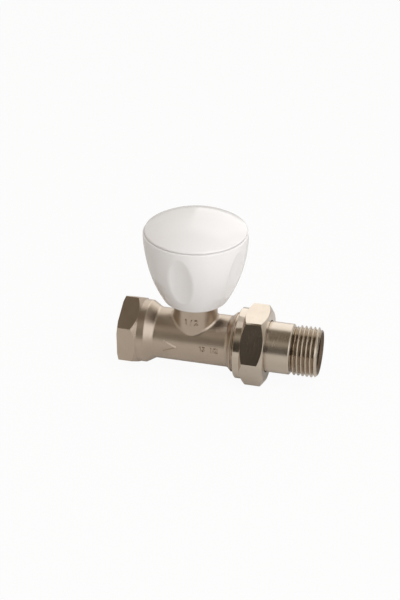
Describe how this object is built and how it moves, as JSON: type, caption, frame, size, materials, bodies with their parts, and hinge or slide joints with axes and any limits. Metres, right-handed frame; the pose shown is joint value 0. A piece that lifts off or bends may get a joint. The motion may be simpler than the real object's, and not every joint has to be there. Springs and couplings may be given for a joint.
{
  "type": "straight radiator valve",
  "caption": "Straight radiator valve: plated brass body with hexagon pipe socket, union nut and threaded tail, shut off by a spindle under a white fluted handwheel.",
  "frame": {"origin": "centre of the inlet mouth on the pipe axis", "axes": "+X along the pipe axis from the inlet to the radiator tail, +Z along the spindle from the seat to the handwheel"},
  "size_m": [0.0835, 0.0428, 0.0724],
  "materials": {
    "plated_brass": "satin nickel plating on forged and turned brass",
    "bare_brass": "turned brass",
    "white_plastic": "glossy moulded plastic",
    "seal_rubber": "smooth black rubber",
    "gasket_fibre": "matt pressed fibre",
    "packing_white": "waxy white packing",
    "steel": "zinc plated"
  },
  "bodies": {
    "valve": {"valve_body": "plated_brass", "bonnet": "bare_brass", "bonnet_gasket": "gasket_fibre", "gland_packing": "packing_white", "gland_washer": "bare_brass", "gland_nut": "bare_brass"},
    "disc": {"disc_holder": "bare_brass", "disc_seal": "seal_rubber", "disc_washer": "steel", "disc_screw": "steel"},
    "handwheel": {"spindle": "bare_brass", "spindle_oring": "seal_rubber", "handwheel": "white_plastic", "handwheel_cap": "white_plastic", "screw_washer": "steel", "handwheel_screw": "steel"},
    "tail": {"tailpiece": "plated_brass", "tail_oring": "seal_rubber"},
    "union_nut": {"union_nut": "plated_brass"}
  },
  "joints": [
    {"name": "disc_lift", "type": "slide", "parent": "valve", "child": "disc", "axis": [0, 0, 1], "range_m": [0, 0.00376]},
    {"name": "handwheel_turn", "type": "hinge", "parent": "disc", "child": "handwheel", "pos_m": [0.0306, 0, 0], "axis": [0, 0, 1], "range_deg": [0, 900]},
    {"name": "tail_slide", "type": "slide", "parent": "valve", "child": "tail", "axis": [1, 0, 0], "range_m": [0, 0.00727]},
    {"name": "union_nut_turn", "type": "hinge", "parent": "tail", "child": "union_nut", "pos_m": [0.0555, 0, 0], "axis": [1, 0, 0], "range_deg": [0, 1440]}
  ],
  "couplings": [
    {"joint": "disc_lift", "follows": "handwheel_turn", "m_per_rad": 0.00023873},
    {"joint": "tail_slide", "follows": "union_nut_turn", "m_per_rad": 0.00028871}
  ]
}
